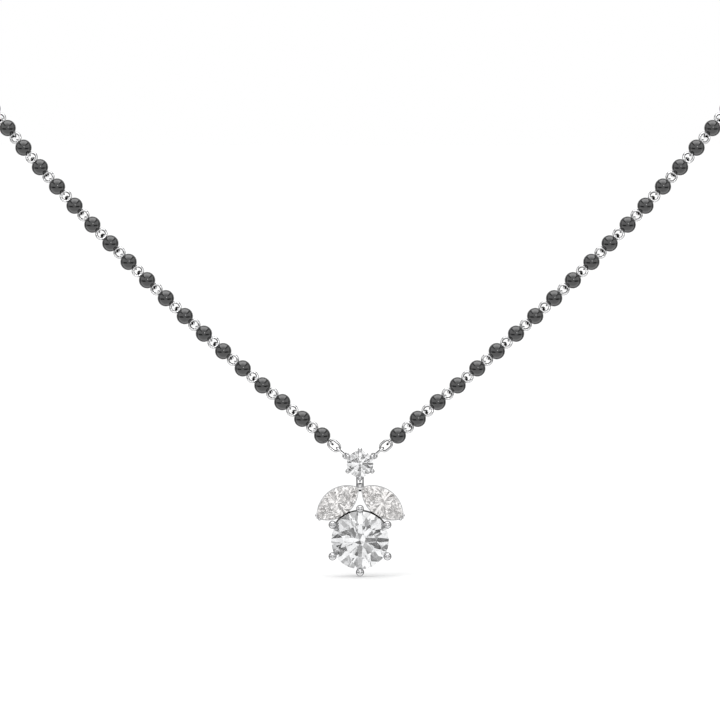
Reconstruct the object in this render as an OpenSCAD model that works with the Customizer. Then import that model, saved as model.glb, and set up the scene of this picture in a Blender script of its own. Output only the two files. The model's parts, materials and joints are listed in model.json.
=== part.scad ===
// Black bead necklace with a leaf and round stone pendant, in millimetres.
// The origin is at the nape, in the middle of the clasp. +Z is up, the pendant hangs in front at -Y,
// and the left side is the mirror image of the right.

/* [Necklace] */
// How far the pendant hangs in front of the nape
front_reach = 104; // [96:1:112]
// How far the middle of the top stone hangs below the nape
front_drop = 112; // [104:1:120]

/* [Beads] */
// Diameter of one black bead
bead_d = 2; // [1.8:0.05:2.1]
// Bore drilled through each bead
bead_bore_d = 0.7; // [0.6:0.05:0.8]
// Distance between the middles of two beads
bead_pitch = 3.15; // [3:0.05:3.6]
// Thickness of the wire that runs through the beads
thread_d = 0.3; // [0.2:0.02:0.4]

/* [Links] */
// Thickness of the wire of the links and end rings
link_wire_d = 0.28; // [0.22:0.02:0.3]
// Length of the oval link next to the lowest bead, outside
oval_link_len = 1.8; // [1.6:0.05:2.2]
// Width of the oval link, outside
oval_link_w = 1.3; // [1.2:0.05:1.5]
// Length of the side link that carries the pendant, outside
side_link_len = 1.7; // [1.6:0.05:2.4]
// Width of the side link, outside
side_link_w = 1.16; // [1.1:0.02:1.24]
// Angle between the links and the level, in degrees
link_slope = 41; // [38:0.5:44]
// Diameter of an end ring, outside
end_ring_d = 1.4; // [1.3:0.05:1.5]

/* [Clasp] */
// Length of the clasp's barrel
clasp_len = 8; // [6:0.5:12]
// Diameter of the clasp's barrel
clasp_d = 2.4; // [2:0.1:3]

/* [Stones] */
// Diameter of the top stone
top_stone_d = 3.2; // [3:0.05:3.4]
// Diameter of the centre stone
centre_stone_d = 6.92; // [6.5:0.02:7]
// Length of a leaf stone
leaf_len = 6.05; // [5.6:0.05:6.2]
// Width of a leaf stone
leaf_w = 3.2; // [3:0.02:3.3]
// Width of a stone's table, as a share of the stone
table_share = 0.57; // [0.53:0.01:0.62]
// Height of the crown, as a share of the stone's width
crown_share = 0.15; // [0.12:0.01:0.17]
// Depth of the pavilion, as a share of the stone's width
pavilion_share = 0.43; // [0.4:0.01:0.45]
// Thickness of the girdle
girdle_t = 0.08; // [0.05:0.01:0.12]
// Gap between a stone and the metal that holds it
stone_gap = 0.02; // [0.01:0.01:0.03]

/* [Settings] */
// Diameter of a claw's round tip on the top stone
top_tip_d = 0.55; // [0.5:0.01:0.6]
// Diameter of a claw's round tip on the centre stone
centre_tip_d = 0.98; // [0.9:0.02:1.1]
// Diameter of the two small claws at a leaf's outer point
leaf_tip_d = 0.36; // [0.3:0.02:0.42]
// Width of the metal rim round a leaf stone
leaf_rim_w = 0.11; // [0.08:0.01:0.14]
// Thickness of the wire of the pendant's small rings
ring_wire_d = 0.2; // [0.16:0.01:0.22]
// Size of a side ring on the top setting, across the middle of its wire
side_ring_d = 0.68; // [0.66:0.01:0.72]
// Size of the hanging ring below the top setting, across the middle of its wire
hang_ring_d = 0.54; // [0.52:0.01:0.6]
// Thickness of the bail's wire
bail_wire_d = 0.2; // [0.16:0.01:0.22]
// Width of the bail, outside
bail_w = 0.94; // [0.92:0.01:1.1]

/* [Pendant layout] */
// Middle of the centre stone, below the middle of the top stone
centre_drop = 9.17; // [9.15:0.01:9.5]
// Middle of a leaf stone, below the middle of the top stone
leaf_drop = 4.67; // [4.6:0.01:4.8]
// Middle of a leaf stone, to the side of the pendant's middle
leaf_side = 2.7; // [2.7:0.01:2.9]
// Angle between a leaf's length and the level, in degrees
leaf_slope = 36.5; // [34:0.5:39]
// How far the top stone's girdle stands in front of the hanging line
top_forward = 0.45; // [0.4:0.01:0.5]
// How far the centre stone's girdle stands in front of the hanging line
centre_forward = 0.55; // [0.4:0.01:0.8]
// How far a leaf stone's girdle stands in front of the hanging line
leaf_forward = 0.3; // [0.2:0.01:0.4]

/* [Hidden] */

metal = [0.86, 0.86, 0.88];
onyx = [0.16, 0.16, 0.17];
diamond = [0.95, 0.96, 0.98];

$fn = 32;
overlap = 0.02;
play = 0.03;
claw_step = 60;
claw_angles = [for (i = [0:5]) 90 + i * claw_step];

// Small vector helpers
function unit(v) = v / norm(v);
function polar(r, a) = [r * cos(a), r * sin(a)];

// The pendant's own frame: its origin is the middle of the top stone, on the hanging line
pendant_at = [0, -front_reach, -front_drop];

// Top setting: the claws lean in from the girdle to the base ring
top_r = top_stone_d / 2;
top_claw_r = top_r + 0.1;
top_claw_d = 0.32;
top_base_d = 0.26;
top_claw_foot_r = top_r * 0.53;
top_back = 1;
top_rail_y = 0.15;
top_rail_d = 0.2;
top_claw_slope = (top_claw_r - top_claw_foot_r) / (top_back + top_forward);
top_claw_r_at_line = top_claw_foot_r + top_claw_slope * top_back;
top_claw_out = top_claw_r_at_line + top_claw_d / 2;

// Side rings: they sit on the claws at two and ten o'clock, and the side links pass through them
side_ring_r = side_ring_d / 2;
side_ring_at_r = top_claw_out + side_ring_r + overlap;
side_ring_angle = 30;
side_ring_at = [
    side_ring_at_r * cos(side_ring_angle), 0, side_ring_at_r * sin(side_ring_angle)
];

// Hanging ring: it sits under the claw at six o'clock, and the bail passes through it
hang_ring_r = hang_ring_d / 2;
hang_at_z = -(top_claw_out + hang_ring_r - overlap);
bail_x = (bail_w - bail_wire_d) / 2;
bail_clear_r = hang_ring_r + ring_wire_d / 2 + play + bail_wire_d / 4;
bail_foot = 1.02;
bail_rise = 0.27;
shield_top = 0.6;
shield_r = 0.42;
shield_point_r = 0.06;
shield_len = 0.52;
shield_stem_r = 0.16;
brace_d = 0.12;
web_t = 0.1;
bridge_below = 0.22;
bridge_reach = 0.42;
bridge_d = 0.24;

// The links run up from a side ring in one line
link_dir = [cos(link_slope), 0, sin(link_slope)];
side_link_run = side_link_len - link_wire_d;
oval_link_run = oval_link_len - link_wire_d;
side_link_top = side_ring_at + side_link_run * link_dir;
oval_link_foot = side_link_top - (link_wire_d + play) * link_dir;
oval_link_top = oval_link_foot + oval_link_run * link_dir;
oval_seat = 0.13;
first_bead = oval_link_top + (oval_seat + bead_d / 2) * link_dir;

// The clasp: a loop at each end, then a ring that the last bead's wire passes through
end_ring_r = (end_ring_d - link_wire_d) / 2;
clasp_loop_r = 0.42;
clasp_loop_x = clasp_len / 2 + clasp_loop_r;
end_ring_x = clasp_loop_x + clasp_loop_r + end_ring_r - link_wire_d - play;

// The strand's route on the right side, from the links to the end ring, chosen by hand
ROUTE = [
    pendant_at + first_bead - bead_pitch / 2 * link_dir,
    [16.5, -front_reach, -98.4],
    [30.1, -103.6, -85.4],
    [42.7, -101.6, -71.3],
    [55, -92, -54],
    [62, -73, -35],
    [61, -47, -18],
    [48, -23, -7],
    [28, -6, -1],
    [end_ring_x, 0, 0]
];
ROUTE_STEPS = 24;

// A smooth curve through the route's points
function route_point(i) =
    i < 0 ? 2 * ROUTE[0] - ROUTE[1]
    : i >= len(ROUTE) ? [-ROUTE[len(ROUTE) - 2].x, ROUTE[len(ROUTE) - 2].y, ROUTE[len(ROUTE) - 2].z]
    : ROUTE[i];
function curve(a, b, c, d, t) =
    0.5 * (2 * b + (c - a) * t + (2 * a - 5 * b + 4 * c - d) * t * t
    + (3 * b - 3 * c + d - a) * t * t * t);
ROUTE_CURVE = [
    for (i = [0:len(ROUTE) - 2])
        for (k = [0:ROUTE_STEPS - 1])
            curve(route_point(i - 1), route_point(i), route_point(i + 1), route_point(i + 2),
                k / ROUTE_STEPS),
    ROUTE[len(ROUTE) - 1]
];
ROUTE_LAST = len(ROUTE_CURVE) - 1;
ROUTE_LENGTHS = [
    for (i = 0, s = 0; i <= ROUTE_LAST;
        s = s + (i < ROUTE_LAST ? norm(ROUTE_CURVE[i + 1] - ROUTE_CURVE[i]) : 0), i = i + 1) s
];
route_len = ROUTE_LENGTHS[ROUTE_LAST];
ROUTE_X = [for (i = [0:ROUTE_LAST]) [ROUTE_LENGTHS[i], ROUTE_CURVE[i].x]];
ROUTE_Y = [for (i = [0:ROUTE_LAST]) [ROUTE_LENGTHS[i], ROUTE_CURVE[i].y]];
ROUTE_Z = [for (i = [0:ROUTE_LAST]) [ROUTE_LENGTHS[i], ROUTE_CURVE[i].z]];
function on_route(s) = [lookup(s, ROUTE_X), lookup(s, ROUTE_Y), lookup(s, ROUTE_Z)];

// The strand is a chain of short straight spans with two beads on each
beads_a_span = 2;
span_count = round(route_len / (beads_a_span * bead_pitch));
KNOTS = [for (i = [0:span_count]) on_route(route_len * i / span_count)];
bead_count = span_count * beads_a_span;
thread_end = (bead_pitch - bead_d) / 2 + thread_d / 2;

// The cut of a brilliant: eight mains, eight stars and a girdle with four points to each main
cut_mains = 8;
main_points = 4;
cut_points = cut_mains * main_points;
half_step = 180 / cut_mains;
star_share = (table_share * cos(half_step) + 1) / 2;
star_height = (1 - star_share * cos(half_step)) / (1 - table_share);
low_share = 0.24;

// A ring of wire about the Z axis
module wire_ring(r, d) {
    rotate_extrude($fn = 48)
        translate([r, 0])
            circle(d = d, $fn = 20);
}

// A straight round wire with rounded ends
module wire(a, b, d) {
    v = b - a;
    translate(a)
        rotate([0, acos(v.z / norm(v)), atan2(v.y, v.x)])
            cylinder(d = d, h = norm(v), $fn = 24);
    for (p = [a, b])
        translate(p)
            sphere(d = d, $fn = 24);
}

// A straight wire that narrows from a to b, with no rounded ends
module tapered_wire(a, b, d_a, d_b) {
    v = b - a;
    translate(a)
        rotate([0, acos(v.z / norm(v)), atan2(v.y, v.x)])
            cylinder(d1 = d_a, d2 = d_b, h = norm(v), $fn = 24);
}

// A long link in the XY plane, from the origin along +X, measured along the middle of its wire
module long_link(run, width, d) {
    r = width / 2;
    translate([r, 0, 0])
        rotate([0, 0, 90])
            rotate_extrude(angle = 180, $fn = 48)
                translate([r, 0])
                    circle(d = d, $fn = 20);
    translate([run - r, 0, 0])
        rotate([0, 0, -90])
            rotate_extrude(angle = 180, $fn = 48)
                translate([r, 0])
                    circle(d = d, $fn = 20);
    for (side = [-1, 1])
        translate([r, side * r, 0])
            rotate([0, 90, 0])
                cylinder(d = d, h = run - 2 * r, $fn = 20);
}

// The outline of a round or a pointed stone, as the girdle's points
function round_outline(d) = [for (i = [0:cut_points - 1]) polar(d / 2, i * 360 / cut_points)];
function arc_r(length, width) = (length * length + width * width) / (4 * width);
function pointed_outline(length, width) =
    let (r = arc_r(length, width), half = asin(length / 2 / r), last = cut_points / 2)
    [
        for (side = [1, -1])
            for (i = [0:last - 1])
                let (a = half * (1 - 2 * i / last))
                side * [r * sin(a), r * cos(a) - (r - width / 2)]
    ];

// A brilliant-cut stone on the Z axis, its table up and the top of its girdle at z = 0
module brilliant(outline, width) {
    crown = crown_share * width;
    pavilion = pavilion_share * width;
    star_z = crown * star_height;
    low_z = -girdle_t - pavilion * (1 - low_share * cos(half_step));
    table = 0;
    star = table + cut_mains;
    top = star + cut_mains;
    bottom = top + cut_points;
    low = bottom + cut_points;
    culet = low + cut_mains;
    points = concat(
        [for (j = [0:cut_mains - 1]) [each table_share * outline[main_points * j], crown]],
        [for (j = [0:cut_mains - 1]) [each star_share * outline[main_points * (j + 0.5)], star_z]],
        [for (i = [0:cut_points - 1]) [each outline[i], 0]],
        [for (i = [0:cut_points - 1]) [each outline[i], -girdle_t]],
        [for (j = [0:cut_mains - 1]) [each low_share * outline[main_points * (j + 0.5)], low_z]],
        [[0, 0, -girdle_t - pavilion]]
    );
    faces = concat(
        [[for (j = [cut_mains - 1:-1:0]) table + j]],
        [
            for (j = [0:cut_mains - 1])
                let (
                    next = (j + 1) % cut_mains,
                    back = (j + cut_mains - 1) % cut_mains,
                    main = main_points * j
                )
                each [
                    [table + j, table + next, star + j],
                    [table + j, star + j, top + main],
                    [table + j, top + main, star + back],
                    [culet, low + back, bottom + main],
                    [culet, bottom + main, low + j]
                ]
        ],
        [
            for (i = [0:cut_points - 1])
                let (next = (i + 1) % cut_points, j = floor(i / main_points))
                each [
                    [star + j, top + next, top + i],
                    [top + i, top + next, bottom + next, bottom + i],
                    [low + j, bottom + i, bottom + next]
                ]
        ]
    );
    polyhedron(points = points, faces = faces, convexity = 2);
}

// The room that a round stone takes in its setting, with its gap
module round_seat(d) {
    r = d / 2 + stone_gap;
    crown = crown_share * d;
    rotate_extrude($fn = 48)
        polygon([
            [0, crown + stone_gap],
            [table_share * d / 2 + stone_gap, crown + stone_gap],
            [star_share * d / 2 + stone_gap, crown * star_height + stone_gap],
            [r, stone_gap],
            [r, -girdle_t - stone_gap],
            [0, -girdle_t - pavilion_share * d - 2 * stone_gap]
        ]);
}

// A pointed prism with curved sides, as the overlap of two discs
module pointed_prism(length, width, h) {
    r = arc_r(length, width);
    intersection() {
        translate([0, r - width / 2, 0])
            cylinder(r = r, h = h, $fn = 96);
        translate([0, width / 2 - r, 0])
            cylinder(r = r, h = h, $fn = 96);
    }
}

// The same, sloping in towards its top by the given amount
module pointed_wedge(length, width, h, inset) {
    r = arc_r(length, width);
    intersection() {
        translate([0, r - width / 2, 0])
            cylinder(r1 = r, r2 = r - inset, h = h, $fn = 96);
        translate([0, width / 2 - r, 0])
            cylinder(r1 = r, r2 = r - inset, h = h, $fn = 96);
    }
}

// The room that a leaf stone takes in its setting, with its gap
module leaf_seat() {
    crown = crown_share * leaf_w + stone_gap;
    length = leaf_len + 2 * stone_gap;
    width = leaf_w + 2 * stone_gap;
    inset = leaf_w / 2 * (1 - table_share) * 0.7;
    pointed_wedge(length, width, crown, inset);
    translate([0, 0, -girdle_t - stone_gap])
        pointed_prism(length, width, girdle_t + stone_gap + overlap);
    translate([0, 0, -girdle_t - stone_gap + overlap])
        mirror([0, 0, 1])
            pointed_wedge(length, width, leaf_rim_h, leaf_rim_h);
}

// Places a stone or setting upright: what points up on its own axis points to the front
module facing_front(x, forward, z) {
    translate([x, -forward, z])
        rotate([90, 0, 0])
            children();
}

module at_pendant() {
    translate(pendant_at)
        children();
}

module at_leaf() {
    facing_front(leaf_side, leaf_forward, -leaf_drop)
        rotate([0, 0, -leaf_slope])
            children();
}

module mirrored_pair() {
    children();
    mirror([1, 0, 0])
        children();
}

// One bead on the Z axis, drilled through
module bead() {
    difference() {
        sphere(d = bead_d, $fn = 32);
        cylinder(d = bead_bore_d, h = 2 * bead_d, center = true, $fn = 24);
    }
}

module bead_strand() {
    for (i = [0:span_count - 1]) {
        span = KNOTS[i + 1] - KNOTS[i];
        turn = [0, acos(span.z / norm(span)), atan2(span.y, span.x)];
        for (k = [0:beads_a_span - 1])
            translate(KNOTS[i] + span * (k + 0.5) / beads_a_span)
                rotate(turn)
                    bead();
    }
}

// The wire through the beads: one tube of eight sides with a ring of points at each knot
tube_sides = 8;
THREAD = concat(
    [KNOTS[0] + thread_end * unit(KNOTS[1] - KNOTS[0])],
    [for (i = [1:span_count - 1]) KNOTS[i]],
    [KNOTS[span_count] - thread_end * unit(KNOTS[span_count] - KNOTS[span_count - 1])]
);
function thread_dir(i) =
    unit(THREAD[min(i + 1, len(THREAD) - 1)] - THREAD[max(i - 1, 0)]);
function tube_ring(i) =
    let (
        along = thread_dir(i),
        side = unit(cross(along, [0, 0, 1])),
        up = cross(side, along)
    )
    [
        for (k = [0:tube_sides - 1])
            THREAD[i] + thread_d / 2
                * (cos(k * 360 / tube_sides) * side + sin(k * 360 / tube_sides) * up)
    ];

module link_wire() {
    rings = len(THREAD);
    polyhedron(
        points = [for (i = [0:rings - 1]) each tube_ring(i)],
        faces = concat(
            [[for (k = [0:tube_sides - 1]) k]],
            [
                for (i = [0:rings - 2])
                    for (k = [0:tube_sides - 1])
                        let (next = (k + 1) % tube_sides, a = i * tube_sides, b = a + tube_sides)
                        [a + k, b + k, b + next, a + next]
            ],
            [[for (k = [tube_sides - 1:-1:0]) (rings - 1) * tube_sides + k]]
        ),
        convexity = 4
    );
}

// The oval link lies flat to the front, and the side link stands on edge
module oval_link() {
    at_pendant()
        translate(oval_link_foot)
            rotate([0, -link_slope, 0])
                rotate([90, 0, 0])
                    long_link(oval_link_run, oval_link_w - link_wire_d, link_wire_d);
}

module side_link() {
    at_pendant()
        translate(side_ring_at)
            rotate([0, -link_slope, 0])
                long_link(side_link_run, side_link_w - link_wire_d, link_wire_d);
}

module end_ring() {
    translate([end_ring_x, 0, 0])
        rotate([90, 0, 0])
            wire_ring(end_ring_r, link_wire_d);
}

module clasp() {
    color(metal) {
        rotate([0, 90, 0])
            cylinder(d = clasp_d, h = clasp_len - clasp_d, center = true, $fn = 48);
        mirrored_pair() {
            translate([(clasp_len - clasp_d) / 2, 0, 0])
                sphere(d = clasp_d, $fn = 48);
            translate([clasp_loop_x, 0, 0])
                wire_ring(clasp_loop_r, link_wire_d);
        }
    }
}

// One claw of a six-claw setting in the XY plane, from its foot at the back to its round tip
module claw(angle, foot_r, foot_z, tip_r, tip_z, wire_d, tip_d) {
    rotate([0, 0, angle]) {
        tapered_wire([foot_r, 0, foot_z], [tip_r, 0, tip_z], wire_d, tip_d * 0.8);
        translate([tip_r, 0, tip_z])
            sphere(d = tip_d, $fn = 32);
    }
}

// Top setting: six claws, a base ring, a rail, two side rings and the hanging ring
module top_setting() {
    tip_z = 0.15;
    color(metal)
        at_pendant()
            difference() {
                union() {
                    facing_front(0, top_forward, 0) {
                        for (angle = claw_angles)
                            claw(angle, top_claw_foot_r, -top_forward - top_back,
                                top_claw_r, tip_z, top_claw_d, top_tip_d);
                        translate([0, 0, -top_forward - top_back])
                            wire_ring(top_claw_foot_r, top_base_d);
                        translate([0, 0, -top_forward - top_rail_y])
                            wire_ring(top_claw_foot_r + top_claw_slope * (top_back - top_rail_y),
                                top_rail_d);
                    }
                    mirrored_pair()
                        translate(side_ring_at)
                            rotate([90, 0, 0])
                                wire_ring(side_ring_r, ring_wire_d);
                    translate([0, 0, hang_at_z])
                        rotate([0, 90, 0])
                            wire_ring(hang_ring_r, ring_wire_d);
                }
                facing_front(0, top_forward, 0)
                    round_seat(top_stone_d);
            }
}

module top_stone() {
    color(diamond)
        at_pendant()
            facing_front(0, top_forward, 0)
                brilliant(round_outline(top_stone_d), top_stone_d);
}

// Bail: a bar through the hanging ring, two side wires that rise past it, a brace and a thin web
module bail() {
    foot_z = hang_at_z - bail_foot;
    web_z = hang_at_z - bail_clear_r;
    web_foot_z = hang_at_z - shield_top - shield_r / 2;
    wire([-bail_x, 0, hang_at_z], [bail_x, 0, hang_at_z], bail_wire_d);
    mirrored_pair() {
        wire([bail_x, 0, hang_at_z + bail_rise], [bail_x, 0, foot_z], bail_wire_d);
        wire([0, -web_t, web_z - brace_d / 2], [bail_x, -web_t, web_foot_z], brace_d);
    }
    translate([-bail_x, 0, web_foot_z])
        cube([2 * bail_x, web_t, web_z - web_foot_z]);
}

// Bridge: the short bar that joins the inner ends of the two leaf settings
module leaf_bridge() {
    z = hang_at_z - shield_top - shield_len - bridge_below;
    forward = leaf_forward / 2;
    wire([-bridge_reach, -forward, z], [bridge_reach, -forward, z], bridge_d);
}

// Shield: the claw that holds the inner points of both leaves
module shield() {
    top_z = hang_at_z - shield_top;
    forward = leaf_forward + crown_share * leaf_w / 3;
    translate([0, -forward, top_z]) {
        rotate([180, 0, 0])
            cylinder(r1 = shield_r, r2 = shield_point_r, h = shield_len, $fn = 32);
        translate([0, 0, -shield_len / 3])
            rotate([-90, 0, 0])
                cylinder(r = shield_stem_r, h = forward, $fn = 24);
    }
}

// Leaf setting: a rim round the girdle, a smaller rail behind it, struts and two claws at its point
leaf_rim_h = 0.4;
leaf_rail_share = 0.62;
leaf_rail_back = 0.85;
leaf_rail_h = 0.24;
leaf_claw_turn = 5.2;
module pointed_ring(length, width, wall, h) {
    difference() {
        pointed_prism(length + 2 * wall, width + 2 * wall, h);
        translate([0, 0, -overlap])
            pointed_prism(length, width, h + 2 * overlap);
    }
}

module leaf_setting() {
    length = leaf_len + 2 * stone_gap;
    width = leaf_w + 2 * stone_gap;
    rail_len = leaf_len * leaf_rail_share;
    rail_w = leaf_w * leaf_rail_share;
    r = arc_r(length + leaf_rim_w, width + leaf_rim_w);
    rail_r = arc_r(rail_len + leaf_rim_w, rail_w + leaf_rim_w);
    half = asin((length + leaf_rim_w) / 2 / r);
    rail_half = asin((rail_len + leaf_rim_w) / 2 / rail_r);
    translate([0, 0, -leaf_rim_h + overlap])
        pointed_ring(length, width, leaf_rim_w, leaf_rim_h);
    translate([0, 0, -leaf_rail_back - leaf_rail_h])
        pointed_ring(rail_len, rail_w, leaf_rim_w, leaf_rail_h);
    for (side = [-1, 1])
        for (share = [-0.6, 0.6])
            tapered_wire(
                side * [rail_r * sin(share * rail_half), rail_r * cos(share * rail_half)
                    - (rail_r - (rail_w + leaf_rim_w) / 2), 0]
                    + [0, 0, -leaf_rail_back - leaf_rail_h / 2],
                side * [r * sin(share * half), r * cos(share * half)
                    - (r - (width + leaf_rim_w) / 2), 0] + [0, 0, -leaf_rim_h / 2],
                leaf_rim_w * 2, leaf_rim_w * 1.6);
    for (side = [-1, 1]) {
        a = half - leaf_claw_turn;
        translate([r * sin(a), side * (r * cos(a) - (r - (width + leaf_rim_w) / 2)), -leaf_rim_h]) {
            cylinder(d = leaf_tip_d, h = leaf_rim_h + 0.12, $fn = 24);
            translate([0, 0, leaf_rim_h + 0.12])
                sphere(d = leaf_tip_d, $fn = 24);
        }
    }
}

// Centre setting: six claws, a base ring, a rail, and the arc to which the leaves are soldered
centre_r = centre_stone_d / 2;
centre_claw_r = centre_r + 0.34;
centre_claw_foot_r = centre_r * 0.5;
centre_claw_d = 0.5;
centre_back = 2.1;
centre_rail_y = 0.8;
centre_arc_h = 0.3;
centre_arc_w = 0.2;

// How near the middle of a leaf's rim comes to the middle of the centre stone
function leaf_rim_reach() =
    let (
        width = leaf_w + 2 * stone_gap + leaf_rim_w,
        r = arc_r(leaf_len + 2 * stone_gap + leaf_rim_w, width),
        arc_middle = [leaf_side, -leaf_drop] + (r - width / 2) * [sin(leaf_slope), cos(leaf_slope)]
    )
    norm(arc_middle + [0, centre_drop]) - r;

module centre_setting() {
    tip_z = 0.2;
    slope = (centre_claw_r - centre_claw_foot_r) / (centre_back + centre_forward);
    arc_in = centre_r + stone_gap;
    arc_out = max(arc_in + centre_arc_w, leaf_rim_reach());
    for (angle = claw_angles)
        claw(angle, centre_claw_foot_r, -centre_forward - centre_back,
            centre_claw_r, tip_z, centre_claw_d, centre_tip_d);
    translate([0, 0, -centre_forward - centre_back])
        wire_ring(centre_claw_foot_r, centre_claw_d);
    translate([0, 0, -centre_forward - centre_rail_y])
        wire_ring(centre_claw_foot_r + slope * (centre_back - centre_rail_y), centre_claw_d * 0.7);
    rotate([0, 0, claw_step / 2])
        translate([0, 0, -girdle_t - centre_arc_h])
            rotate_extrude(angle = 2 * claw_step, $fn = 96)
                translate([arc_in, 0])
                    square([arc_out - arc_in, centre_arc_h]);
}

module drop_setting() {
    color(metal)
        at_pendant()
            difference() {
                union() {
                    bail();
                    shield();
                    leaf_bridge();
                    mirrored_pair()
                        at_leaf()
                            leaf_setting();
                    facing_front(0, centre_forward, -centre_drop)
                        centre_setting();
                }
                facing_front(0, centre_forward, -centre_drop)
                    round_seat(centre_stone_d);
                mirrored_pair()
                    at_leaf()
                        leaf_seat();
            }
}

module leaf_stone() {
    color(diamond)
        at_pendant()
            at_leaf()
                brilliant(pointed_outline(leaf_len, leaf_w), leaf_w);
}

module centre_stone() {
    color(diamond)
        at_pendant()
            facing_front(0, centre_forward, -centre_drop)
                brilliant(round_outline(centre_stone_d), centre_stone_d);
}

color(onyx) mirror([1, 0, 0]) bead_strand();  // bead_strand_left
color(onyx) bead_strand();  // bead_strand_right
color(metal) mirror([1, 0, 0]) link_wire();  // link_wire_left
color(metal) link_wire();  // link_wire_right
color(metal) mirror([1, 0, 0]) oval_link();  // oval_link_left
color(metal) oval_link();  // oval_link_right
color(metal) mirror([1, 0, 0]) side_link();  // side_link_left
color(metal) side_link();  // side_link_right
color(metal) mirror([1, 0, 0]) end_ring();  // end_ring_left
color(metal) end_ring();  // end_ring_right
clasp();
top_setting();
top_stone();
drop_setting();
mirror([1, 0, 0]) leaf_stone();  // leaf_stone_left
leaf_stone();  // leaf_stone_right
centre_stone();
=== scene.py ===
"""The necklace dressed for its picture: cut stones, pins and rings, finishes and a light tent."""
import json
import logging
import math
from dataclasses import dataclass, field
from enum import Enum
from typing import Iterable

import bpy
from mathutils import Matrix, Vector

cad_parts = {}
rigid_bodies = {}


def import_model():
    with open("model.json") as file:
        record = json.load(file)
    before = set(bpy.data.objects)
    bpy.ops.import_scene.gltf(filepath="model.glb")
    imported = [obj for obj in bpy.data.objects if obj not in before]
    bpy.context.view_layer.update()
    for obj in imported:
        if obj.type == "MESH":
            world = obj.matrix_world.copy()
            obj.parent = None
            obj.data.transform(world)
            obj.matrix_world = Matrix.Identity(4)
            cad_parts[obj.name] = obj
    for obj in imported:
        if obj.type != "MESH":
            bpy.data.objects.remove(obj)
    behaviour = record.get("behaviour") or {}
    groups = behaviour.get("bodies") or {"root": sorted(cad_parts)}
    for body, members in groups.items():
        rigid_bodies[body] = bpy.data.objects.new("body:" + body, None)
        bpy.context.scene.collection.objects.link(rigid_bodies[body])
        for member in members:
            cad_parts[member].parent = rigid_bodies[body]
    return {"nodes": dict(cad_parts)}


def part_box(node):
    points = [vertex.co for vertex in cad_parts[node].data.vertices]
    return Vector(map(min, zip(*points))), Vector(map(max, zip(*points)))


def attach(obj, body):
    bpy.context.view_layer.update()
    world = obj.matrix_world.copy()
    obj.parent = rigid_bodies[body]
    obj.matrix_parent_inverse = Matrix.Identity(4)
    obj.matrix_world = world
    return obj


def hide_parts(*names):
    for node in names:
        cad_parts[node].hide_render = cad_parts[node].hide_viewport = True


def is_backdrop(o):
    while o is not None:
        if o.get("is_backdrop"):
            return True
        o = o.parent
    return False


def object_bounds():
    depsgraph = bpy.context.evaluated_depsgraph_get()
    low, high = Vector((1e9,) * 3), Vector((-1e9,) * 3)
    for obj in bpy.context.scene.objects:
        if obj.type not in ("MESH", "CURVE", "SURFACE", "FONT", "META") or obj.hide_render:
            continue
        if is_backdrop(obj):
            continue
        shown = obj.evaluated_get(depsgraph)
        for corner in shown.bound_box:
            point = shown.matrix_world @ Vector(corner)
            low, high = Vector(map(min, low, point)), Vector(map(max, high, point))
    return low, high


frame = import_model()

LOG = logging.getLogger("necklace")
MM = 0.001
QUARTER = math.radians(90)
SMOOTH = math.radians(65)

Triple = tuple[float, float, float]
Pair = tuple[float, float]


def heading(direction: float) -> Vector:
    """Return the level unit vector of a direction in degrees."""
    return Vector((math.cos(math.radians(direction)), math.sin(math.radians(direction)), 0))


def middle_of(node: str) -> Vector:
    """Return the middle of a CAD node's box."""
    low, high = (Vector(corner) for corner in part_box(node))
    return (low + high) / 2


class Side(Enum):
    """The two mirror-image halves of the necklace."""

    LEFT = "left"
    RIGHT = "right"


class Outline(Enum):
    """The girdle outlines that a stone can have."""

    ROUND = "round"
    POINTED = "pointed"


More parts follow.
